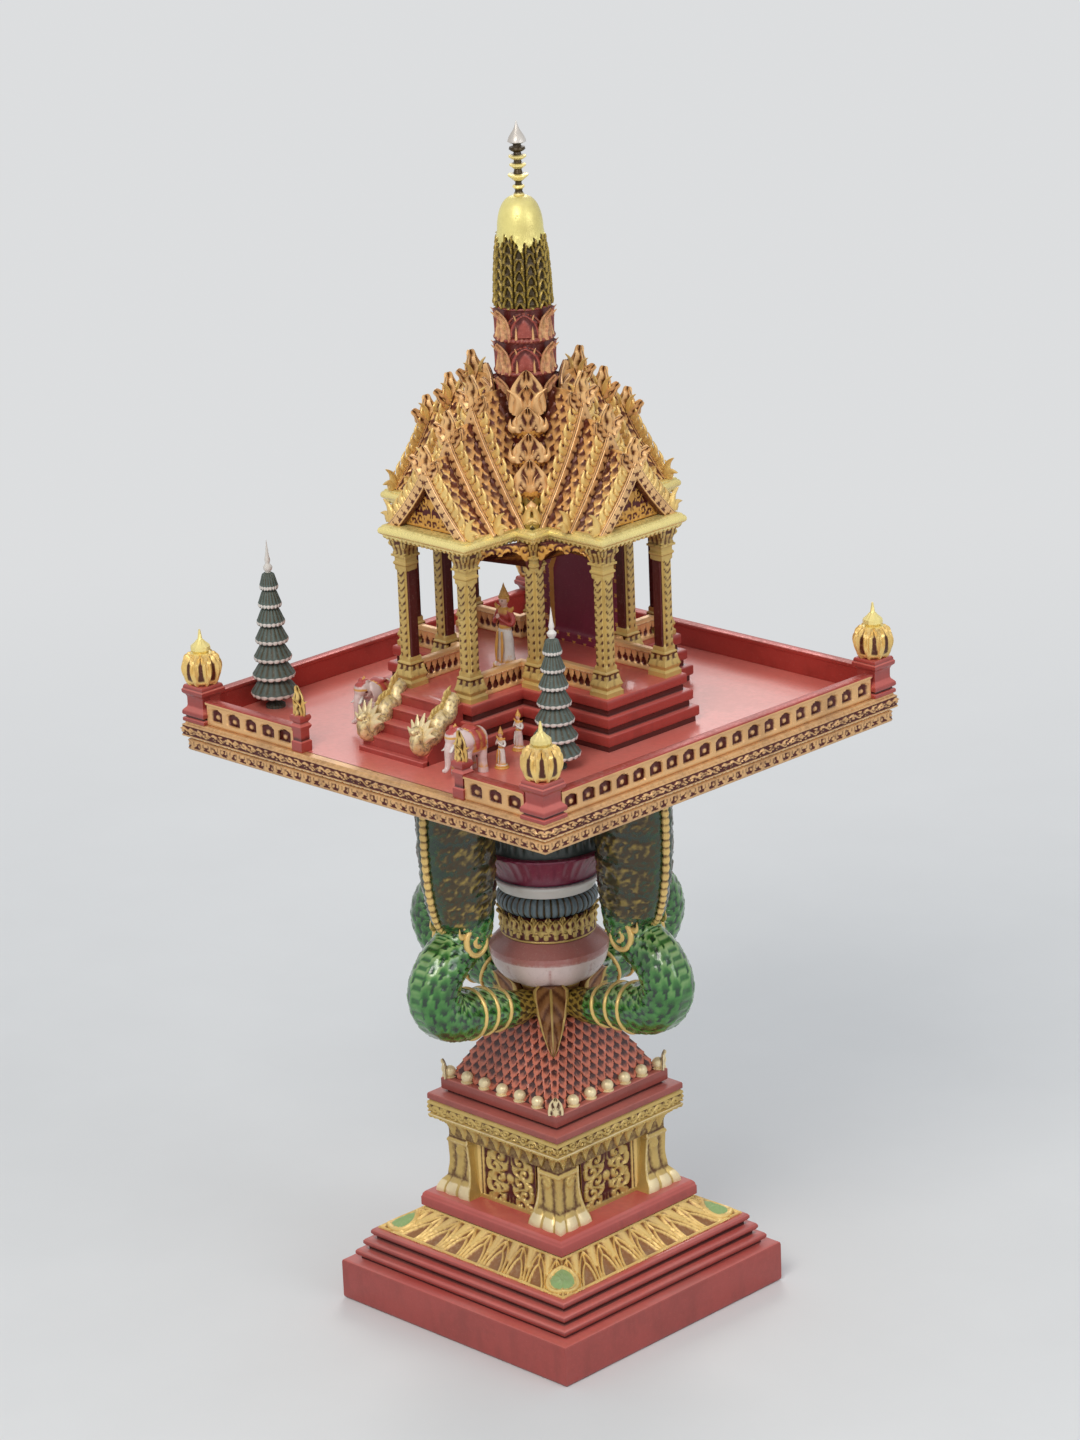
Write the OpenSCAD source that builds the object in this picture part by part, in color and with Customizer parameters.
// Spirit house: a cross-shaped shrine with a stepped roof and a corn-cob tower, on a square railed deck
// that a turned column and four serpents carry over a scaled pyramid and a square lotus plinth.
// Millimetres, +Z up, origin at the centre of the underside. The front, with the stair, faces -Y.

/* [Plinth] */
// Side of the bottom slab
slab_w = 640; // [600:5:720]
// Height of the bottom slab
slab_h = 88; // [60:1:120]
// How far the lowest thin step stands back from the slab
step_first_inset = 20; // [12:1:28]
// How far each thin step stands back from the one below
step_inset = 12; // [6:1:14]
// Height of one thin step with its groove
step_h = 22; // [14:1:30]
// Number of thin steps
step_count = 3; // [2:1:4]
// Height of the dark groove under each step and ledge
groove_h = 6; // [3:0.5:8]
// Depth of the dark grooves
groove_d = 9; // [5:0.5:12]
// Height of the sloping petal band
band_h = 42; // [30:1:60]
// Petals along each side of the band, between its corner leaves
band_petals = 8; // [4:1:10]
// How far the petals stand out of the band
petal_relief = 4; // [2:0.5:6]
// Side of the ledge that carries the die
ledge_w = 400; // [380:5:430]
// Height of that ledge with its groove
ledge_h = 38; // [28:1:50]

/* [Die] */
// Side of the die between its corner legs
die_w = 284; // [260:2:300]
// Height of the die
die_h = 122; // [90:1:160]
// Depth of the panels in the die's faces
panel_d = 5; // [2:0.5:9]
// Width of the rim round a panel
panel_rim = 9; // [6:0.5:14]
// Width across the legs at the top
leg_top_w = 314; // [306:1:330]
// Width across the legs' feet
leg_foot_w = 348; // [334:1:370]
// Width of a leg along the face at its top
leg_face_w = 44; // [34:1:54]
// Thickness of the cornice over the die
cornice_h = 80; // [60:1:100]
// Width across the cornice
cornice_w = 366; // [350:1:384]
// Side of the slab on the cornice
cap_w = 368; // [352:1:390]
// Height of that slab
cap_h = 16; // [10:1:24]
// Side of the ledge that carries the balls
bead_ledge_w = 326; // [316:1:336]
// Height of the bead ledge with its groove
bead_ledge_h = 32; // [20:1:40]
// Radius of a ball
bead_r = 12.5; // [9:0.5:14]
// Balls along each side, with one corner
bead_count = 6; // [4:1:9]

/* [Pyramid and neck] */
// Side of the pyramid's foot
pyramid_w = 296; // [270:2:304]
// Height of the pyramid
pyramid_h = 136; // [110:2:150]
// Side of the neck
neck_w = 118; // [104:1:130]
// Height of the neck up to the bowl
neck_h = 76; // [60:1:100]
// Swell of the pyramid's slopes, where 1 is straight and less bulges
pyramid_swell = 0.9; // [0.8:0.05:1.3]
// How far the pyramid's top stands out past the neck on each side
neck_ledge = 8; // [4:1:14]
// How far the corner leaves reach out of the neck
leaf_reach = 30; // [16:1:40]
// Thickness of a corner leaf
leaf_t = 14; // [8:1:20]

/* [Column] */
// Radius of the bowl's rim
bowl_r = 121; // [110:1:130]
// Radius of the bowl's foot
bowl_foot_r = 58; // [44:1:64]
// Height of the bowl with its sloping lip
bowl_h = 104; // [84:1:124]
// Radius of the ring of upright petals
lotus_r = 100; // [90:1:108]
// Height of the ring of upright petals
lotus_h = 50; // [36:1:64]
// Upright petals round the ring
lotus_petals = 20; // [12:1:24]
// Radius of the ribbed cushion
cushion_r = 103; // [94:1:110]
// Height of the ribbed cushion
cushion_h = 43; // [32:1:56]
// Radius of the white ring
ring_r = 113; // [106:1:122]
// Height of the white ring
ring_h = 32; // [22:1:44]
// Radius at the top of the maroon flare
flare_r = 142; // [130:1:156]
// Height of the maroon flare
flare_h = 65; // [50:1:80]
// Radius at the top of the capital under the deck
capital_r = 205; // [190:1:220]
// Height of that capital
capital_h = 215; // [180:1:250]

/* [Serpents] */
// How far the bend of each serpent reaches from the column's centre
naga_reach = 386; // [360:1:420]
// Radius of the body at the bend
naga_body_r = 50; // [40:1:56]
// Half width of the hood, seen from its side
naga_hood_r = 84; // [70:1:92]
// Half thickness of the hood
naga_hood_t = 60; // [46:1:72]
// Height of the middle of the bend above the pyramid's foot
naga_bend_z = 272; // [262:1:284]
// Distance of the hood's middle from the column's centre
naga_hood_reach = 246; // [240:1:262]
// Height of the ridge along the serpent's back
naga_ridge = 10; // [4:1:16]
// Gap between a hood and the seat that is hollowed for it in the capital
naga_gap = 4; // [2:0.5:8]

/* [Deck] */
// Side of the red slab inside its gold edge
deck_w = 960; // [900:5:1040]
// Thickness of the deck
deck_h = 62; // [48:1:76]
// How far the upper gold moulding stands out of the slab
edge_out = 22; // [14:1:32]
// How far the lower gold moulding stands out of the slab
edge_low_out = 14; // [8:1:18]
// Height of the railing
rail_h = 50; // [36:1:62]
// Thickness of the railing
rail_t = 18; // [12:1:26]
// Height of the rail's top and bottom members
rail_bar = 9; // [6:0.5:12]
// Depth of the recess between the members
rail_recess = 5; // [2:0.5:7]
// Distance from one baluster to the next
baluster_pitch = 44; // [24:1:60]
// Diameter of a baluster
baluster_d = 9; // [6:0.5:10]
// Side of a corner post
post_w = 62; // [48:1:72]
// Height of a corner post
post_h = 76; // [56:1:90]
// Radius of the gold bud on a post
bud_r = 37; // [26:1:40]
// Height of the small upper bud with its tip
bud_tip_h = 44; // [30:1:60]
// Distance of the opening's left post from the middle
gate_left = 160; // [120:5:260]
// Distance of the opening's right post from the middle
gate_right = 255; // [150:5:280]
// Side of a post at the opening
gate_post_w = 28; // [20:1:34]
// Height of a post at the opening
gate_post_h = 74; // [52:1:90]
// Height of the flame on a post at the opening
gate_flame_h = 62; // [40:1:80]

/* [House plinth and stair] */
// Height of one step of the house plinth
house_step_h = 33; // [22:1:40]
// How far each lower step stands out
house_step_out = 8; // [5:1:14]
// Number of steps of the house plinth
house_steps = 3; // [2:1:4]
// Distance from the centre to the columns at the end of a wing
wing_reach = 266; // [250:1:290]
// Half the distance between the columns of a wing
wing_half = 82; // [76:1:92]
// Distance of the inner corner columns from both middle planes
core_half = 126; // [120:1:136]
// Margin of the plinth's top round the columns' bases
plinth_margin = 7; // [5:1:14]
// Half width of the stair between its cheeks
stair_half = 58; // [44:1:62]
// Width of a cheek beside the stair
cheek_w = 30; // [24:1:36]
// How far the stair runs out in front of the house plinth
stair_run = 84; // [60:1:110]
// Number of treads
treads = 4; // [3:1:6]
// Thickness of the slab under the stair
stair_slab_h = 10; // [6:1:16]
// How far that slab shows in front of the lowest tread
stair_slab_out = 12; // [6:1:20]
// Height of a cheek's front over that slab
cheek_foot_h = 8; // [4:1:14]
// Radius of a sloping serpent on a cheek
stair_naga_r = 15; // [10:0.5:17]

/* [House] */
// Side of a column's shaft
column_w = 30; // [24:1:36]
// Side of a column's base
base_w = 46; // [40:1:52]
// Height of a column's base
base_h = 50; // [36:1:64]
// Height of a column from plinth to eave
column_h = 294; // [240:2:330]
// Height of a column's capital
capital_top_h = 34; // [24:1:44]
// Side of a column's capital
capital_top_w = 42; // [36:1:50]
// Height of the porch railings
porch_rail_h = 46; // [34:1:58]
// Thickness of the porch railings
porch_rail_t = 12; // [8:1:18]
// Thickness of the back wall
wall_t = 12; // [8:1:18]
// Thickness of the eave
eave_h = 30; // [22:1:40]
// How far the eave stands out past the columns' faces
eave_out = 21; // [14:1:26]

/* [Roof] */
// Number of nested gables on each wing
gable_tiers = 3; // [2:1:3]
// Height of the lowest and outermost gable over the eave
gable_h = 138; // [120:2:170]
// How much higher each inner gable is
gable_rise = 50; // [40:1:60]
// How far each inner gable stands back
gable_setback = 66; // [50:1:72]
// Half width of the outermost gable
gable_half = 104; // [92:1:110]
// How much wider each inner gable is on each side
gable_widen = 13; // [6:1:18]
// Bend of the roof slopes, where 1 is straight
gable_sweep = 1.3; // [1.05:0.05:1.5]
// Width of a gable board
board_w = 15; // [10:1:20]
// Thickness of a gable board, from its face to the gable behind it
board_t = 22; // [12:1:24]
// Width of the flame on a gable's peak
peak_w = 34; // [16:1:40]
// Height of the flame on a gable's peak
peak_h = 42; // [26:1:56]
// Height of the upturned tip at a gable's foot
foot_tip_h = 40; // [16:1:44]
// Thickness of the flames and tips
tip_t = 12; // [8:1:12]
// Steps of the square core that show in the valleys, each with a leaf on its corners
core_steps = 3; // [2:1:3]
// Half width of the lowest core step
core_step_half = 122; // [110:1:130]
// How far each core step stands back
core_step_in = 21; // [16:1:24]
// Height of the lowest core step over the eave
core_step_low = 62; // [50:1:80]
// Height from one core step to the next
core_step_h = 52; // [40:1:54]
// How far the sloping skirt stands out at the foot of the core
skirt_out = 30; // [16:1:34]
// Height of the skirt
skirt_h = 52; // [40:1:58]
// Width of the lowest valley leaf
valley_leaf_w = 58; // [44:1:60]
// Height of the lowest valley leaf
valley_leaf_h = 66; // [46:1:76]

/* [Tower] */
// Radius of the tower's drum where it leaves the roof
drum_r = 62; // [58:1:70]
// Height of the drum and the red tiers above the drum's seat
tiers_h = 193; // [170:1:230]
// Number of red tiers
tier_count = 3; // [3:1:5]
// Width of the rounded petal on each diagonal of a tier
tier_petal_w = 52; // [36:1:60]
// Height of the drum's seat over the eave
drum_seat = 185; // [178:1:200]
// Radius at the foot of the corn-cob body
cob_r = 57; // [50:1:62]
// Height of the corn-cob body under its cap
cob_h = 143; // [120:1:170]
// Rows of cells up the corn-cob body
cob_rows = 6; // [4:1:9]
// Upright ribs of the corn-cob body
cob_ribs = 8; // [4:4:12]
// Width of an upright rib
cob_rib_w = 8; // [5:1:12]
// Height of the smooth gold cap
dome_h = 82; // [64:1:100]
// Radius of the smooth gold cap
dome_r = 47; // [42:1:50]
// Height of the ringed stem on the cap
stem_h = 92; // [70:1:120]
// Radius of the widest ring on the stem
stem_r = 21; // [14:1:26]
// Height of the white bell and point on top
bell_h = 52; // [38:1:70]

/* [Things on the deck] */
// Distance of the left parasol from the slab's left edge
parasol_left_in = 60; // [60:1:90]
// Distance of the left parasol from the slab's front edge
parasol_left_back = 158; // [140:1:220]
// Distance of the front parasol from the slab's right edge
parasol_front_in = 194; // [150:1:200]
// Distance of the front parasol from the slab's front edge
parasol_front_back = 234; // [210:1:250]
// Height of the left tiered parasol
parasol_left_h = 345; // [260:5:380]
// Height of the front tiered parasol
parasol_front_h = 318; // [240:2:340]
// Radius of a parasol's lowest tier
parasol_r = 47; // [36:1:48]
// Tiers of a parasol
parasol_tiers = 7; // [5:1:9]
// Height of an elephant
elephant_h = 104; // [80:1:120]
// Distance of an elephant's middle from the side of the house plinth
figure_gap = 48; // [42:1:60]
// How far the left elephant stands behind the front of the house plinth
elephant_back = 40; // [0:2:80]
// How far the right elephant stands ahead of it
elephant_ahead = 58; // [50:2:64]
// Height of a small white statuette
statuette_h = 84; // [60:1:100]
// Height of the figure inside the house
figure_h = 178; // [140:2:200]
// Distance of that figure in front of the middle
figure_out = 86; // [40:1:110]

/* [Hidden] */

// Colours of the paint, as they show
red_paint = "#8c3a30";
dark_red = "#5c1f1c";
pink_red = "#b46a58";
gold = "#b8892f";
pale_gold = "#d9b85c";
olive_gold = "#8f7a2e";
maroon = "#5a1e2a";
white_paint = "#d8d2cc";
grey_blue = "#56656b";
serpent_green = "#3f7a3a";
sage_grey = "#6f7f78";

// Heights of the seats, from the ground up
z_steps = slab_h;
z_band = z_steps + step_count * step_h;
z_ledge = z_band + band_h;
z_die = z_ledge + ledge_h;
z_cornice = z_die + die_h;
z_cap = z_cornice + cornice_h;
z_bead_ledge = z_cap + cap_h;
z_pyramid = z_bead_ledge + bead_ledge_h;
z_neck = z_pyramid + pyramid_h;
z_bowl = z_neck + neck_h;
z_lotus = z_bowl + bowl_h;
z_cushion = z_lotus + lotus_h;
z_ring = z_cushion + cushion_h;
z_flare = z_ring + ring_h;
z_capital = z_flare + flare_h;
z_deck = z_capital + capital_h;
z_floor = z_deck + deck_h;
z_house = z_floor + house_steps * house_step_h;
z_eave = z_house + column_h;
z_roof = z_eave + eave_h;
z_drum = z_roof + drum_seat;
z_cob = z_drum + tiers_h;
z_dome = z_cob + cob_h;
z_stem = z_dome + dome_h;
z_bell = z_stem + stem_h;

// Half widths that several pieces share
slab_half = slab_w / 2;
top_step_half = slab_half - step_first_inset - (step_count - 1) * step_inset;
band_low_half = top_step_half - step_inset;
ledge_half = ledge_w / 2;
die_half = die_w / 2;
deck_half = deck_w / 2;
neck_half = neck_w / 2;
pyramid_half = pyramid_w / 2;
plinth_top_reach = wing_reach + base_w / 2 + plinth_margin;
plinth_top_half = wing_half + base_w / 2 + plinth_margin;
plinth_top_core = core_half + base_w / 2 + plinth_margin;
plinth_spread = (house_steps - 1) * house_step_out;
eave_reach = wing_reach + column_w / 2 + eave_out;
eave_half = wing_half + column_w / 2 + eave_out;
eave_core = core_half + column_w / 2 + eave_out;
rail_centre = deck_half - rail_t / 2 + edge_out / 3;
post_centre = rail_centre - post_w / 6;
gate_places = [-gate_left - gate_post_w / 2, gate_right + gate_post_w / 2];

stair_out_half = stair_half + cheek_w;
stair_back = plinth_top_reach;
stair_front = plinth_top_reach + plinth_spread + stair_run;
z_cheek = z_floor + stair_slab_h + cheek_foot_h;
cap_top_r = 8;
board_over = 4;
tier_lip = 6;
z_tiers = z_roof + tier_h(gable_tiers - 1) + 2;
tier_step = (z_cob - z_tiers) / tier_count;
cob_rib_out = 2;
facets = 48;

// Points of an arc round c, with radius r, from angle a to angle b in n steps
function arc(c, r, a, b, n = 8) =
    [for (i = [0 : n]) let(t = a + (b - a) * i / n) [c[0] + r * cos(t), c[1] + r * sin(t)]];

// A rectangular block with mitred mouldings: hx and hy are its half widths, and pts lists, from the bottom
// up, how far its side stands back from them and at what height
module moulded(hx, hy, pts) {
    side = function(h) concat([for (p = pts) [h - p[0], p[1]]],
                              [for (i = [len(pts) - 1 : -1 : 0]) [pts[i][0] - h, pts[i][1]]]);
    spare = 60;
    intersection() {
        rotate([90, 0, 0]) linear_extrude(2 * hy + spare, center = true) polygon(side(hx));
        rotate([90, 0, 90]) linear_extrude(2 * hx + spare, center = true) polygon(side(hy));
    }
}

// The same mouldings round a cross with a square core
module moulded_cross(reach, half, core, pts) {
    moulded(half, reach, pts);
    moulded(reach, half, pts);
    moulded(core, core, pts);
}

// Copies its child onto the four sides, starting at the front
module four_sides() {
    for (a = [0 : 90 : 270]) rotate(a) children();
}

// Copies its child onto the four corners, starting between front and right
module four_corners(d) {
    for (a = [0 : 90 : 270]) rotate(a) translate([d, -d, 0]) children();
}

// A body turned about the vertical axis from half-outline points
module turned(pts) {
    rotate_extrude($fn = facets) polygon(pts);
}

// A leaf outline with a round foot and a pointed tip, standing on y = 0
function leaf(w, h, n = 6) =
    let(side = [for (i = [0 : n]) let(t = i / n) [w / 2 * (1 - t) * (1 + 1.6 * t), h * t]])
    concat(side, [for (i = [n - 1 : -1 : 0]) [-side[i][0], side[i][1]]]);

// An upright petal outline with straight sides and a round top, standing on y = 0
function hood(w, h) =
    concat([[-w / 2, 0], [w / 2, 0]],
           [for (a = [0 : 15 : 180]) [w / 2 * cos(a), h * 0.45 + h * 0.55 * sin(a)]]);

// Plinth

module plinth_slab() color(red_paint) {
    edge = 3;
    moulded(slab_half, slab_half, [[0, 0], [0, slab_h - edge], [edge, slab_h]]);
}

module plinth_steps() color(red_paint) {
    for (i = [0 : step_count - 1]) {
        h = slab_half - step_first_inset - i * step_inset;
        z = z_steps + i * step_h;
        body = step_h - groove_h;
        r = body / 2;
        nose = [for (p = arc([0, 0], r, -90, 90, 6)) [r - p[0], z + groove_h + r + p[1]]];
        moulded(h, h, concat([[groove_d, z], [groove_d, z + groove_h]], nose));
    }
}

// A sloping band with a row of petals on each side and a broader leaf on each corner
module lotus_band() color(gold) {
    run = band_low_half - ledge_half + groove_d;
    length = norm([run, band_h]);
    ridge = norm([run, run, band_h]);
    pitch = 2 * ledge_half / band_petals;
    petal_w = pitch * 0.86;
    leaf_start = petal_w * 0.6;
    moulded(band_low_half, band_low_half, [[0, z_band], [run, z_ledge]]);
    intersection() {
        moulded(band_low_half, band_low_half, [[0, z_band], [0, z_ledge]]);
        union() {
            four_sides() for (i = [0 : band_petals - 1])
                translate([(i - (band_petals - 1) / 2) * pitch, -band_low_half, z_band])
                    rotate([atan2(band_h, run), 0, 0])
                        petal(petal_w, length * 0.92, petal_relief, petal_relief / 2);
            four_corners(band_low_half)
                translate([0, 0, z_band]) rotate([0, 0, 45]) rotate([atan2(band_h, run * sqrt(2)), 0, 0])
                    translate([0, leaf_start, 0])
                        petal(petal_w, ridge * 0.92 - leaf_start, petal_relief, petal_w / 2);
        }
    }
}

// A raised petal lying on its seat, foot at the origin and tip up the slope, rooted as deep as sink
module petal(w, h, relief, sink) {
    translate([0, 0, -sink]) linear_extrude(relief + sink) polygon(leaf(w, h));
}

module plinth_ledge() color(red_paint) {
    cove = 6;
    moulded(ledge_half, ledge_half,
            [[groove_d, z_ledge], [groove_d, z_ledge + groove_h], [0, z_ledge + groove_h],
             [0, z_die - 2 * cove], [cove, z_die]]);
}

// Die

module pedestal_die() color(gold) {
    panel_w = die_w - 2 * leg_face_w - 2 * panel_rim;
    difference() {
        moulded(die_half, die_half, [[0, z_die], [0, z_cornice]]);
        four_sides()
            translate([-panel_w / 2, -die_half - 1, z_die + panel_rim])
                cube([panel_w, panel_d + 1, die_h - 2 * panel_rim]);
    }
}

// Outer side of a leg, from its foot up: a claw, a hollow shin and a swelling knee
function leg_side() =
    let(foot = leg_foot_w / 2, top = leg_top_w / 2, toe = 16, out = foot - top)
    concat([[0, z_die], [0, z_die + toe]],
           [for (i = [1 : 8]) let(t = i / 8) [out * (1.25 - 0.25 * t) * sin(90 * min(1, 1.6 * t)),
                                              z_die + toe + (die_h - toe) * t]]);

module lion_legs() color(gold) {
    foot = leg_foot_w / 2;
    flare = 16;
    difference() {
        moulded(foot, foot, leg_side());
        moulded(die_half, die_half, [[0, z_die - 1], [0, z_cornice + 1]]);
        four_sides()
            rotate([90, 0, 0]) linear_extrude(foot + 1) leg_gap(flare);
    }
}

// The open stretch between two legs of one face, narrowing towards the floor where the feet flare
module leg_gap(flare) {
    half = die_half - leg_face_w;
    side = [for (i = [0 : 6]) let(t = i / 6) [half - flare * pow(1 - t, 2), z_die - 1 + (die_h + 2) * t]];
    polygon(concat(side, [for (i = [6 : -1 : 0]) [-side[i][0], side[i][1]]]));
}

module gold_cornice() color(gold) {
    h = cornice_w / 2;
    rise = cornice_h;
    hollow = h - leg_top_w / 2;
    cove = [for (p = arc([0, 0], 1, 180, 90, 7)) [-hollow * p[0], z_cornice + rise * (0.16 + 0.42 * p[1])]];
    moulded(h, h, concat([[hollow, z_cornice]], cove,
                         [[-2, z_cornice + rise * 0.62], [-2, z_cornice + rise * 0.9], [3, z_cap]]));
}

module cap_slab() color(pink_red) {
    h = cap_w / 2;
    back = h - bead_ledge_w / 2;
    edge = 3;
    moulded(h, h, [[edge, z_cap], [0, z_cap + edge], [0, z_bead_ledge - edge], [edge, z_bead_ledge],
                   [back + groove_d, z_bead_ledge], [back + groove_d, z_bead_ledge + groove_h],
                   [back, z_bead_ledge + groove_h], [back, z_pyramid]]);
}

// The balls sit in a row on the ledge, each with a small flat underneath and its back against the pyramid
module bead_row() color(pale_gold) {
    flat = 1;
    half = bead_ledge_w / 2 - bead_r - 1;
    pitch = 2 * half / bead_count;
    difference() {
        intersection() {
            four_sides() for (i = [0 : bead_count - 1])
                translate([-half + i * pitch, -half, z_pyramid + bead_r - flat]) sphere(bead_r, $fn = facets);
            translate([-slab_half, -slab_half, z_pyramid]) cube([slab_w, slab_w, 2 * bead_r]);
        }
        pyramid_body();
    }
}

// Pyramid and neck

// Half width of the pyramid at a share t of its height
function pyramid_at(t) =
    neck_half + neck_ledge + (pyramid_half - neck_half - neck_ledge) * pow(1 - t, pyramid_swell);

// Eight courses, each with a small lip over the one below, and the square neck on top
module pyramid_body() {
    rows = 8;
    lip = 4;
    courses = [for (i = [0 : rows - 1], e = [0 : 1])
        let(t = (i + e) / rows, low = pyramid_at(i / rows), high = pyramid_at((i + 1) / rows))
        [pyramid_half - low - (high - low) * e - (e == 0 ? 0 : lip * (1 - t)), z_pyramid + pyramid_h * t]];
    moulded(pyramid_half, pyramid_half,
            concat(courses, [[pyramid_half - neck_half, z_neck + neck_ledge],
                             [pyramid_half - neck_half, z_bowl]]));
}

module scale_pyramid() color(dark_red) {
    pyramid_body();
}

// A leaf on each corner of the neck, its foot on the pyramid's ridge and its top curling out to the bowl
module neck_leaves() color(olive_gold) {
    n = 8;
    base = z_neck - pyramid_h * 0.26;
    rise = z_bowl + bowl_h * 0.2 - base;
    back = neck_half * sqrt(2) - leaf_t;
    outer = [for (i = [0 : n])
        let(t = i / n, z = base + rise * t, swell = leaf_t * (0.5 + sin(180 * t) * 0.3),
            seat = z < z_neck ? pyramid_at(1 - (z_neck - z) / pyramid_h) : neck_half)
        [seat * sqrt(2) + swell + leaf_reach * pow(t, 3), z]];
    difference() {
        four_corners(0) rotate(-45) rotate([90, 0, 0])
            linear_extrude(leaf_t * 2, center = true)
                polygon(concat([[back, base]], outer, [[back, base + rise]]));
        pyramid_body();
        bowl_body();
    }
}

// Column

module lower_bowl() color(white_paint) {
    bowl_body();
}

module bowl_body() {
    rim = 9;
    slope = 26;
    body = bowl_h - rim - slope;
    cup = [for (i = [0 : 8]) let(t = i / 8)
        [bowl_foot_r + (bowl_r - bowl_foot_r) * sin(90 * t), z_bowl + body * (1 - cos(90 * t))]];
    turned(concat([[0, z_bowl]], cup, [[bowl_r, z_bowl + body + rim], [lotus_r - 8, z_lotus], [0, z_lotus]]));
}

module lotus_ring() color(gold) {
    core = lotus_r - 8;
    bead = 5;
    turned([[0, z_lotus], [core, z_lotus], [core + bead, z_lotus + bead], [core, z_lotus + 2 * bead],
            [core + 4, z_cushion - bead], [core, z_cushion], [0, z_cushion]]);
    for (i = [0 : lotus_petals - 1])
        rotate(i * 360 / lotus_petals)
            intersection() {
                translate([0, -core + 4, z_lotus + 2 * bead]) rotate([82, 0, 0])
                    linear_extrude(9) polygon(leaf(2 * PI * core / lotus_petals * 0.84, lotus_h - 3 * bead));
                translate([0, 0, z_lotus]) cylinder(lotus_h, r = lotus_r + 4, $fn = facets);
            }
}

module ribbed_cushion() color(grey_blue) {
    mid = z_cushion + cushion_h / 2;
    r = cushion_h / 2;
    ring = cushion_r - r;
    rotate_extrude($fn = facets) union() {
        translate([0, z_cushion]) square([ring, cushion_h]);
        intersection() {
            translate([ring, mid]) circle(r, $fn = facets);
            translate([0, z_cushion]) square([cushion_r + 1, cushion_h]);
        }
    }
}

module white_ring() color(white_paint) {
    lip = 8;
    turned([[0, z_ring], [ring_r - 22, z_ring], [ring_r - 6, z_ring + ring_h - 2 * lip],
            [ring_r, z_flare - lip], [ring_r - 2, z_flare], [0, z_flare]]);
}

module maroon_flare() color(maroon) {
    foot_r = ring_r - 8;
    side = [for (i = [0 : 8]) let(t = i / 8)
        [foot_r + (flare_r - foot_r) * pow(t, 1.6), z_flare + flare_h * t]];
    turned(concat([[0, z_flare]], side, [[0, z_capital]]));
}

// The flaring capital under the deck, hollowed on four sides where the hoods stand against it
module lotus_capital() color(grey_blue) {
    plate = 14;
    neck_r = flare_r - 12;
    side = [for (i = [0 : 8]) let(t = i / 8)
        [neck_r + (capital_r - 8 - neck_r) * (1 - cos(90 * t)), z_capital + (capital_h - plate) * t]];
    difference() {
        turned(concat([[0, z_capital]], side,
                      [[capital_r, z_deck - plate], [capital_r, z_deck], [0, z_deck]]));
        four_sides() translate([0, -naga_hood_reach, z_capital - 1])
            linear_extrude(capital_h + 2) scale([naga_hood_t + naga_gap, naga_hood_r + naga_gap])
                circle(1, $fn = facets);
    }
}

// Serpents

// Catmull-Rom curve through a list, at a share t of its length
function spline(pts, t) =
    let(n = len(pts) - 1, u = min(t * n, n - 0.0001), i = floor(u), f = u - i,
        a = pts[max(i - 1, 0)], b = pts[i], c = pts[i + 1], d = pts[min(i + 2, n)])
    0.5 * (2 * b + (c - a) * f + (2 * a - 5 * b + 4 * c - d) * f * f + (3 * b - a - 3 * c + d) * f * f * f);

// The serpent's line in its own plane, each as [distance out, height, half width, half thickness]: out from
// the neck, round the bend, back in over it, and up through the hood to the deck
function naga_line() =
    let(r = naga_body_r, w = naga_hood_r, d = naga_hood_t, root = z_neck + 0.5 * neck_h,
        x = naga_reach - naga_ridge - r, z = z_pyramid + naga_bend_z, up = naga_hood_reach, top = z_deck - z)
    concat([[neck_half, root, 0.5 * r, 0.5 * r], [neck_half + r, root, 0.66 * r, 0.66 * r]],
           [for (p = [[-2.8, -1.56, 0.86], [-1.4, -1.32, 1], [-0.4, -0.92, 1], [0, 0, 1], [-0.44, 0.92, 0.97],
                      [-1.32, 1.56, 0.94], [-1.84, 2.24, 1.04]])
               [x + p[0] * r, z + p[1] * r, p[2] * r, p[2] * r]],
           [for (p = [[-0.1, 0.36, 0.86], [-0.02, 0.52, 0.96], [0, 0.7, 1], [0, 0.86, 0.98], [0, 1, 0.92]])
               [up + p[0] * w, z + p[1] * top, p[2] * w, p[2] * d]]);

// A tube along a planar line, closed by flat ends, with a ridge on the outside of its bends; the first end is
// upright and the last is level
module naga_tube(line, rings, sides) {
    pts = [for (i = [0 : rings]) spline(line, i / rings)];
    ring = function(i)
        let(p = pts[i], q = pts[max(i - 1, 0)], s = pts[min(i + 1, rings)], d = [s[0] - q[0], s[1] - q[1]],
            t = i == 0 ? [1, 0] : i == rings ? [0, 1] : d / norm(d))
        [for (k = [0 : sides - 1])
            let(a = 360 * k / sides, w = p[2] + (k == sides / 2 ? naga_ridge * min(1, i / 6) : 0))
            [p[0] - w * cos(a) * t[1], -p[3] * sin(a), p[1] + w * cos(a) * t[0]]];
    polyhedron(
        points = [for (i = [0 : rings]) each ring(i)],
        faces = concat(
            [[for (k = [0 : sides - 1]) k]],
            [for (i = [0 : rings - 1], k = [0 : sides - 1])
                let(a = i * sides + k, b = i * sides + (k + 1) % sides)
                each [[a, a + sides, b + sides], [a, b + sides, b]]],
            [[for (k = [sides - 1 : -1 : 0]) rings * sides + k]]));
}

module naga(turn) {
    rotate(turn - 90) color(serpent_green) naga_tube(naga_line(), 48, 12);
}

// Deck

module deck() color(red_paint) {
    moulded(deck_half, deck_half, [[0, z_deck], [0, z_floor]]);
}

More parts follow.
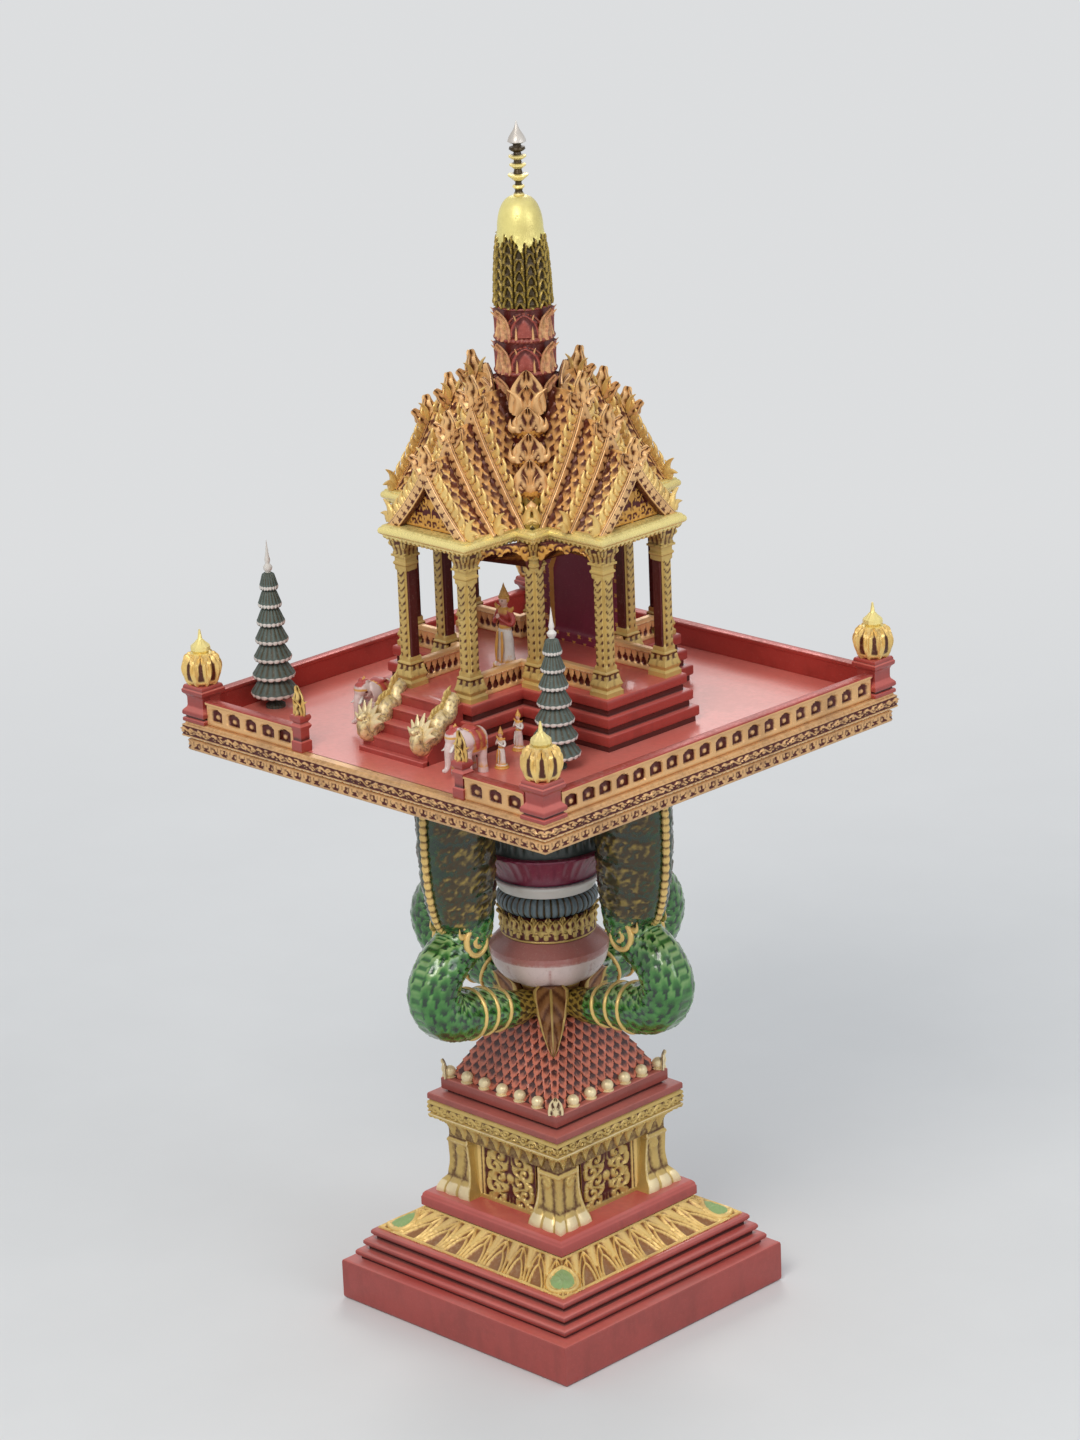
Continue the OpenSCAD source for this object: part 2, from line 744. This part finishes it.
module deck_moulding() color(gold) {
    tier = deck_h / 2;
    step = edge_out - edge_low_out;
    difference() {
        moulded(deck_half + edge_out, deck_half + edge_out,
                [[step + 6, z_deck], [step, z_deck + 5], [step, z_deck + tier - 8],
                 [step + 6, z_deck + tier - 4], [4, z_deck + tier], [0, z_deck + tier + 5],
                 [0, z_floor - 9], [6, z_floor - 3], [6, z_floor]]);
        moulded(deck_half, deck_half, [[0, z_deck - 1], [0, z_floor + 1]]);
    }
}

// A straight piece of railing along X from x0 to x1: plain inside, balusters in a recess outside
module rail_piece(x0, x1) {
    length = x1 - x0;
    count = floor(length / baluster_pitch);
    translate([0, -rail_centre, z_floor]) {
        difference() {
            translate([x0, -rail_t / 2, 0]) cube([length, rail_t, rail_h]);
            translate([x0 - 1, -rail_t / 2 - 1, rail_bar])
                cube([length + 2, rail_recess + 1, rail_h - 2 * rail_bar]);
        }
        for (i = [0 : count - 1])
            translate([x0 + (i + 0.5) * length / count, rail_recess - rail_t / 2, rail_bar])
                cylinder(rail_h - 2 * rail_bar, d = baluster_d, $fn = 16);
    }
}

module rail_side(turn) {
    end = post_centre - post_w / 2;
    color(red_paint) rotate(turn) rail_piece(-end, end);
}

module rail_front() color(red_paint) {
    end = post_centre - post_w / 2;
    rail_piece(-end, -gate_left - gate_post_w);
    rail_piece(gate_right + gate_post_w, end);
}

module deck_posts() color(red_paint) {
    h = post_w / 2;
    step = 7;
    four_corners(post_centre)
        moulded(h, h, [[0, z_floor], [0, z_floor + post_h * 0.34], [step, z_floor + post_h * 0.42],
                       [step, z_floor + post_h * 0.74], [step / 2, z_floor + post_h * 0.84],
                       [step / 2, z_floor + post_h]]);
    for (x = gate_places)
        translate([x, -rail_centre, 0])
            moulded(gate_post_w / 2, gate_post_w / 2,
                    [[0, z_floor], [0, z_floor + gate_post_h * 0.7], [4, z_floor + gate_post_h * 0.78],
                     [0, z_floor + gate_post_h]]);
}

module post_finials() color(pale_gold) {
    z = z_floor + post_h;
    sit = bud_r * 0.82;
    four_corners(post_centre)
        rotate_extrude($fn = facets) intersection() {
            union() {
                translate([0, z + sit]) circle(bud_r, $fn = facets);
                translate([0, z + sit + bud_r + bud_tip_h * 0.2]) circle(bud_r * 0.5, $fn = facets);
                polygon([[0, z], [bud_r * 0.42, z + sit + bud_r * 1.2], [0, z + sit + bud_r + bud_tip_h]]);
            }
            translate([0, z]) square([2 * bud_r, 4 * bud_r + bud_tip_h]);
        }
    for (x = gate_places)
        translate([x, -rail_centre, z_floor + gate_post_h])
            rotate([90, 0, 0]) linear_extrude(gate_post_w * 0.4, center = true)
                polygon(leaf(gate_post_w * 0.8, gate_flame_h));
}

// House plinth and stair

// One step of the plinth from bottom up, with a bevelled lip
function step_side(z, out) =
    let(lip = house_step_out / 2)
    [[-out, z], [-out, z + house_step_h * 0.62], [lip - out, z + house_step_h * 0.74],
     [lip - out, z + house_step_h]];

module stair_block(z0, z1) {
    translate([-stair_out_half, -stair_front - stair_slab_out, z0])
        cube([2 * stair_out_half, stair_front + stair_slab_out - stair_back, z1 - z0]);
}

module house_plinth() color(red_paint) {
    difference() {
        for (i = [0 : house_steps - 1])
            moulded_cross(plinth_top_reach, plinth_top_half, plinth_top_core,
                          step_side(z_floor + i * house_step_h, (house_steps - 1 - i) * house_step_out));
        stair_block(z_floor - 1, z_house + 1);
    }
}

// Side view of the cheeks: a slope from the plinth's top to the deck
function cheek_side() =
    [[stair_back, z_floor], [stair_front, z_floor], [stair_front, z_cheek],
     [stair_back + stair_slab_h, z_house], [stair_back, z_house]];

module stair_flight() color(red_paint) {
    rise = (z_house - z_floor - stair_slab_h) / treads;
    tread = (stair_front - stair_back) / treads;
    stair_profile = [for (i = [0 : treads - 1], e = [0 : 1])
        [stair_front - i * tread, z_floor + stair_slab_h + (i + e) * rise]];
    for (x = [-stair_out_half, stair_half])
        translate([x, 0, 0]) rotate([90, 0, 90]) linear_extrude(cheek_w)
            polygon([for (p = cheek_side()) [-p[0], p[1]]]);
    translate([-stair_half, 0, 0]) rotate([90, 0, 90]) linear_extrude(2 * stair_half)
        polygon(concat([[-stair_back, z_floor], [-stair_front, z_floor]],
                       [for (p = stair_profile) [-p[0], p[1]]], [[-stair_back, z_house]]));
    translate([-stair_out_half, -stair_front - stair_slab_out, z_floor])
        cube([2 * stair_out_half, stair_slab_out, stair_slab_h]);
}

// A serpent lying on a cheek, flat underneath, its head raised at the foot of the stair
module stair_naga(side) color(gold) {
    low = [stair_front, z_cheek];
    high = [stair_back + stair_slab_h, z_house];
    run = high - low;
    length = norm(run);
    pitch = atan2(run[1], -run[0]);
    n = 12;
    r = stair_naga_r;
    body = [for (i = [2 : n]) let(t = i / n)
        [length * t, 1.55 * r * (1 + 0.16 * sin(1080 * t)) * (1 - 0.3 * t)]];
    head = r * [[-0.2, 2.6], [0.2, 3.3], [0.75, 3.6], [1.3, 3.0], [1.5, 2.1]];
    translate([side * (stair_half + cheek_w / 2), -low[0], low[1]])
        rotate([0, 0, 90]) rotate([0, -pitch, 0]) rotate([90, 0, 0])
            linear_extrude(2 * r * 0.86, center = true)
                polygon(concat([[length, 0], [0, 0], [-0.1 * r, 1.2 * r]], head, body));
}

// House

// The positions of the columns: two at the end of each wing and one at each inner corner
module column_places() {
    four_sides() {
        translate([wing_half, -wing_reach, 0]) children();
        translate([-wing_half, -wing_reach, 0]) children();
        translate([core_half, -core_half, 0]) children();
    }
}

module house_columns() color(gold) {
    shaft = column_w / 2;
    foot = base_w / 2;
    head = capital_top_w / 2;
    column_places()
        moulded(foot, foot,
                [[0, z_house], [0, z_house + base_h * 0.22], [4, z_house + base_h * 0.3],
                 [2, z_house + base_h * 0.5], [foot - shaft - 1, z_house + base_h * 0.86],
                 [foot - shaft, z_house + base_h], [foot - shaft, z_eave - capital_top_h],
                 [foot - shaft - 3, z_eave - capital_top_h * 0.8],
                 [foot - shaft - 1, z_eave - capital_top_h * 0.66],
                 [foot - head, z_eave - capital_top_h * 0.2], [foot - head, z_eave]]);
}

// A low gold railing from each end column back to the inner corner column
module porch_rails() color(gold) {
    t = porch_rail_t / 2;
    z0 = z_house;
    top = 4;
    four_sides() for (s = [0, 1]) mirror([s, 0, 0]) translate([0, 0, z0]) difference() {
        linear_extrude(porch_rail_h) polygon([
            [wing_half - t, -(wing_reach - base_w / 2)], [wing_half + t, -(wing_reach - base_w / 2)],
            [wing_half + t, -core_half - t], [core_half - base_w / 2, -core_half - t],
            [core_half - base_w / 2, -core_half + t], [wing_half - t, -core_half + t]]);
        for (y = [wing_reach - base_w / 2 - 16 : -22 : core_half + 22])
            translate([wing_half, -y, porch_rail_h / 2])
                cube([2 * t + 2, 9, porch_rail_h - 4 * top], center = true);
    }
}

// The wall behind the figure, with a pointed blind arch
module back_wall() color(maroon) {
    half = core_half - column_w / 2;
    foot_half = core_half - base_w / 2;
    arch_w = 2 * half * 0.66;
    arch_d = wall_t / 3;
    head_half = core_half - capital_top_w / 2;
    intersection() {
        difference() {
            translate([-half, core_half - wall_t / 2, z_house]) cube([2 * half, wall_t, column_h]);
            translate([0, core_half - wall_t / 2 + arch_d, z_house + 20]) rotate([90, 0, 0])
                linear_extrude(arch_d + 1) union() {
                    translate([-arch_w / 2, 0]) square([arch_w, column_h * 0.5]);
                    translate([0, column_h * 0.5]) polygon(leaf(arch_w, column_h * 0.36));
                }
        }
        translate([0, core_half + wall_t, 0]) rotate([90, 0, 0]) linear_extrude(2 * wall_t)
            polygon([[-foot_half, z_house], [foot_half, z_house], [foot_half, z_house + base_h * 0.3],
                     [foot_half, z_house + base_h], [half, z_house + base_h + 1],
                     [half, z_eave - capital_top_h - 1], [head_half, z_eave - capital_top_h * 0.9],
                     [head_half, z_eave], [-head_half, z_eave], [-head_half, z_eave - capital_top_h * 0.9],
                     [-half, z_eave - capital_top_h - 1], [-half, z_house + base_h + 1],
                     [-foot_half, z_house + base_h]]);
    }
}

module eave_slab() color(pale_gold) {
    moulded_cross(eave_reach, eave_half, eave_core,
                  [[10, z_eave], [6, z_eave + eave_h * 0.3], [0, z_eave + eave_h * 0.4],
                   [0, z_eave + eave_h * 0.74], [5, z_roof]]);
}

// Roof

// Half outline of a gable, hollow like a tent, from its foot at [half, 0] to its peak
function gable_side(half, h, n = 6) =
    [for (i = [0 : n]) let(t = i / n) [half * pow(1 - t, gable_sweep), h * t]];

// A half outline and its mirror image, without the point on the axis twice
function mirrored(side) =
    concat(side, [for (i = [len(side) - 1 : -1 : 0]) if (side[i][0] > 0.001) [-side[i][0], side[i][1]]]);

function tier_half(i) = gable_half + i * gable_widen;
function tier_h(i) = gable_h + i * gable_rise;
function tier_reach(i) = eave_reach - board_t - 14 - i * gable_setback;
function core_at(i) = core_step_half - i * core_step_in;
function core_top(i) = z_roof + core_step_low + i * core_step_h;

// Three nested saddle roofs on each wing over a stepped square core, open in the middle for the tower
module wing_roofs() color(gold) {
    lip = 4;
    difference() {
        union() {
            four_sides() for (i = [0 : gable_tiers - 1])
                translate([0, 0, z_roof]) rotate([90, 0, 0])
                    linear_extrude(tier_reach(i)) polygon(mirrored(gable_side(tier_half(i), tier_h(i))));
            moulded(core_at(0) + skirt_out, core_at(0) + skirt_out,
                    [[0, z_roof], [0, z_roof + lip], [skirt_out * 0.45, z_roof + skirt_h * 0.4],
                     [skirt_out, z_roof + skirt_h]]);
            for (i = [0 : core_steps - 1])
                moulded(core_at(i), core_at(i), [[0, z_roof], [0, core_top(i) - 2 * lip],
                                                 [-lip, core_top(i) - 1.2 * lip], [-lip, core_top(i)]]);
        }
        turned(spire_side());
    }
}

// A board along each gable's slopes, with a flame on the peak and upturned tips at the feet; the inner ones
// stand on the roof of the gable before them
module gable_boards() color(pale_gold) {
    four_sides() for (i = [0 : gable_tiers - 1])
        translate([0, -tier_reach(i), z_roof]) rotate([90, 0, 0]) {
            linear_extrude(board_t) difference() {
                gable_board(tier_half(i), tier_h(i));
                roof_before(i);
            }
            translate([0, 0, (board_t - tip_t) / 2]) linear_extrude(tip_t) difference() {
                gable_tips(tier_half(i), tier_h(i));
                roof_before(i);
            }
        }
}

// The outline of the roof that an inner gable stands on
module roof_before(i) {
    if (i > 0) polygon(mirrored(gable_side(tier_half(i - 1), tier_h(i - 1))));
}

module gable_board(half, h) {
    difference() {
        polygon(mirrored(gable_side(half + board_over, h + 1.5 * board_over)));
        polygon(mirrored(gable_side(half - board_w, h - board_w * 2)));
        translate([-half, -h]) square([2 * half, h]);
    }
}

// The flame on the peak and the curved tips at the feet
module gable_tips(half, h) {
    translate([0, h - board_w]) polygon(leaf(peak_w, peak_h + board_w));
    for (s = [0, 1]) mirror([s, 0])
        polygon([[half - board_w, 0], [half + board_over, 0], [half + 2 * board_over, foot_tip_h * 0.5],
                 [half + 1.5 * board_over, foot_tip_h], [half - 2, foot_tip_h * 0.6],
                 [half - board_w * 0.8, foot_tip_h * 0.36]]);
}

// Pointed leaves that lean out one over the other on the corners of the core's steps, flat underneath
module valley_leaves() color(gold) {
    t = 10;
    lean = 6;
    for (i = [0 : core_steps - 1]) {
        share = 1 - 0.12 * i;
        difference() {
            four_corners(0) rotate(-45)
                translate([core_at(i) * sqrt(2) - valley_leaf_w * 0.3, 0, core_top(i)])
                    rotate([0, lean, 0]) rotate([90, 0, 90]) linear_extrude(t)
                        polygon(leaf(valley_leaf_w * share, valley_leaf_h * share));
            translate([0, 0, core_top(i) - t / 2]) cube([4 * core_at(i), 4 * core_at(i), t], center = true);
        }
    }
}

// Tower

function spire_r(i) = drum_r - (drum_r - cob_r) * i / tier_count;
function spire_z(i) = z_tiers + tier_step * i;

// Outline of the tower's drum and its tiers, the drum straight up to where it leaves the ridges
function spire_side() =
    concat([[0, z_drum], [drum_r, z_drum]],
           [for (i = [0 : tier_count - 1])
               let(r = spire_r(i), z = spire_z(i), inner = spire_r(i + 1) - tier_lip)
               each [[r, z], [(r - tier_lip + inner) / 2, z + tier_step * 0.16], [inner, z + tier_step * 0.7],
                     [inner + tier_lip, z + tier_step * 0.84]]],
           [[cob_r, z_cob], [0, z_cob]]);

// Red tiers with a rounded petal leaning against each diagonal
module spire_tiers() color(dark_red) {
    petal_t = 8;
    turned(spire_side());
    four_corners(0) rotate(-45) for (i = [0 : tier_count - 1])
        translate([spire_r(i + 1) - petal_t, 0, spire_z(i) + tier_step * 0.08]) rotate([90, 0, 90])
            linear_extrude(petal_t) polygon(hood(tier_petal_w, tier_step * 0.84));
}

// Half width of the corn-cob body at a share t of its height
function cob_at(t) = dome_r + (cob_r - dome_r) * (1 - t * t);

module prang() color(olive_gold) {
    row = cob_h / cob_rows;
    cut = 4;
    side = [for (i = [0 : cob_rows - 1])
        let(r = cob_at(i / cob_rows), z = z_cob + row * i)
        each [[r - cut, z], [r, z + row * 0.3], [r, z + row * 0.7], [r - cut, z + row]]];
    cap = [for (i = [0 : 10]) let(a = 90 * i / 10)
        [cap_top_r + (dome_r - cap_top_r) * cos(a), z_dome + dome_h * sin(a)]];
    turned(concat([[0, z_cob]], side, cap, [[0, z_stem]]));
    outer = [for (i = [0 : cob_rows]) [cob_at(i / cob_rows) + cob_rib_out, z_cob + row * i]];
    inner = [for (i = [cob_rows : -1 : 0]) [cob_at(i / cob_rows) - 2 * cut, z_cob + row * i]];
    for (a = [0 : 360 / cob_ribs : 359]) rotate(a)
        rotate([90, 0, 0]) linear_extrude(cob_rib_w, center = true) polygon(concat(outer, inner));
}

module spire_finial() color(white_paint) {
    rings = 3;
    ring = stem_h * 0.72 / rings;
    neck = stem_r * 0.3;
    stem = [for (i = [0 : rings - 1])
        let(r = stem_r * (1 - 0.18 * i), z = z_stem + stem_h * 0.22 + ring * i)
        each [[neck, z], [r, z + ring * 0.35], [r, z + ring * 0.5], [neck, z + ring * 0.95]]];
    bell = [[stem_r * 0.95, z_bell], [stem_r * 0.7, z_bell + bell_h * 0.3], [neck, z_bell + bell_h * 0.5],
            [3, z_bell + bell_h * 0.8], [0, z_bell + bell_h]];
    turned(concat([[0, z_stem], [cap_top_r + 1, z_stem], [neck, z_stem + stem_h * 0.18]], stem, bell));
}

// Things that stand on the deck

// A tiered parasol: sloping tiers that shrink upwards on a thin post, and a pointed tip
module parasol(h) {
    post_r = 5;
    foot = h * 0.07;
    tier = h * 0.74 / parasol_tiers;
    top = foot + tier * parasol_tiers;
    side = [for (i = [0 : parasol_tiers - 1])
        let(r = parasol_r * (1 - 0.72 * i / parasol_tiers), z = foot + tier * i)
        each [[r * 0.9, z], [r, z + tier * 0.12], [r, z + tier * 0.34], [r * 0.6, z + tier * 0.9]]];
    turned(concat([[0, 0], [0.42 * parasol_r, 0], [0.42 * parasol_r, foot * 0.3], [post_r, foot * 0.5],
                   [post_r, foot]], side, [[post_r, top], [post_r * 1.5, top + h * 0.03],
                   [post_r * 0.6, top + h * 0.07], [0, h]]));
}

module parasols() color(sage_grey) {
    translate([parasol_left_in - deck_half, parasol_left_back - deck_half, z_floor])
        parasol(parasol_left_h);
    translate([deck_half - parasol_front_in, parasol_front_back - deck_half, z_floor])
        parasol(parasol_front_h);
}

// A standing elephant facing the front, with its trunk curling forward at the foot
module elephant(h) {
    r = h * 0.27;
    intersection() {
        union() {
            blend([0, h * 0.14, h * 0.57], r, [0, -h * 0.1, h * 0.61], r * 0.9);
            blend([0, -h * 0.32, h * 0.76], r * 0.66, [0, -h * 0.38, h * 0.86], r * 0.5);
            blend([0, -h * 0.44, h * 0.72], r * 0.36, [0, -h * 0.52, h * 0.46], r * 0.26);
            blend([0, -h * 0.52, h * 0.46], r * 0.26, [0, -h * 0.54, h * 0.26], r * 0.2);
            blend([0, -h * 0.54, h * 0.26], r * 0.2, [0, -h * 0.64, h * 0.2], r * 0.17);
            for (x = [-1, 1], y = [-1, 1])
                translate([x * r * 0.52, y * h * 0.19, 0])
                    cylinder(h * 0.5, r1 = r * 0.4, r2 = r * 0.34, $fn = 12);
            for (x = [-1, 1])
                translate([x * r * 0.66, -h * 0.24, h * 0.72]) rotate([0, 90 + x * 20, 0])
                    cylinder(h * 0.06, r = r * 0.56, center = true, $fn = 12);
        }
        translate([-h, -h, 0]) cube(2 * h);
    }
}

// A rounded limb between two balls
module blend(a, ra, b, rb) {
    hull() {
        translate(a) sphere(ra, $fn = 12);
        translate(b) sphere(rb, $fn = 12);
    }
}

module statuette(h) {
    r = h * 0.16;
    rotate_extrude($fn = 16)
        polygon([[0, 0], [1.3 * r, 0], [1.3 * r, h * 0.1], [1.1 * r, h * 0.1], [0.95 * r, h * 0.35],
                 [0.7 * r, h * 0.5], [0.95 * r, h * 0.62], [0.3 * r, h * 0.68], [0.7 * r, h * 0.76],
                 [0.5 * r, h * 0.84], [0, h]]);
}

module deck_figures() color(white_paint) {
    beside = plinth_top_half + plinth_spread;
    front = -(plinth_top_reach + plinth_spread);
    translate([-beside - figure_gap, front + elephant_back, z_floor]) elephant(elephant_h);
    translate([beside + figure_gap, front - elephant_ahead, z_floor]) elephant(elephant_h);
    translate([beside + 1.6 * figure_gap, front, z_floor]) statuette(statuette_h);
    translate([beside + 0.6 * figure_gap, front + 2 * figure_gap, z_floor]) statuette(statuette_h);
}

// A standing crowned figure on a small base, turned, with a plain face
module shrine_figure() color(white_paint) {
    h = figure_h;
    translate([0, -figure_out, z_house]) {
        turned(h * [[0, 0], [0.19, 0], [0.19, 0.05], [0.135, 0.1], [0.146, 0.14], [0.124, 0.2],
                    [0.096, 0.45], [0.079, 0.55], [0.107, 0.68], [0.034, 0.73], [0, 0.73]]);
        translate([0, 0, h * 0.79]) sphere(h * 0.075, $fn = facets);
        translate([0, 0, h * 0.84]) cylinder(h * 0.16, r1 = h * 0.055, r2 = h * 0.006, $fn = facets);
    }
}

plinth_slab();
plinth_steps();
lotus_band();
plinth_ledge();
pedestal_die();
lion_legs();
gold_cornice();
cap_slab();
bead_row();
scale_pyramid();
neck_leaves();
lower_bowl();
lotus_ring();
ribbed_cushion();
white_ring();
maroon_flare();
lotus_capital();
naga(0);  // naga_front
naga(90);  // naga_right
naga(180);  // naga_back
naga(270);  // naga_left
deck();
deck_moulding();
rail_front();
rail_side(90);  // rail_right
rail_side(180);  // rail_back
rail_side(270);  // rail_left
deck_posts();
post_finials();
stair_flight();
stair_naga(-1);  // stair_naga_left
stair_naga(1);  // stair_naga_right
house_plinth();
porch_rails();
house_columns();
back_wall();
eave_slab();
wing_roofs();
gable_boards();
valley_leaves();
spire_tiers();
prang();
spire_finial();
parasols();
deck_figures();
shrine_figure();
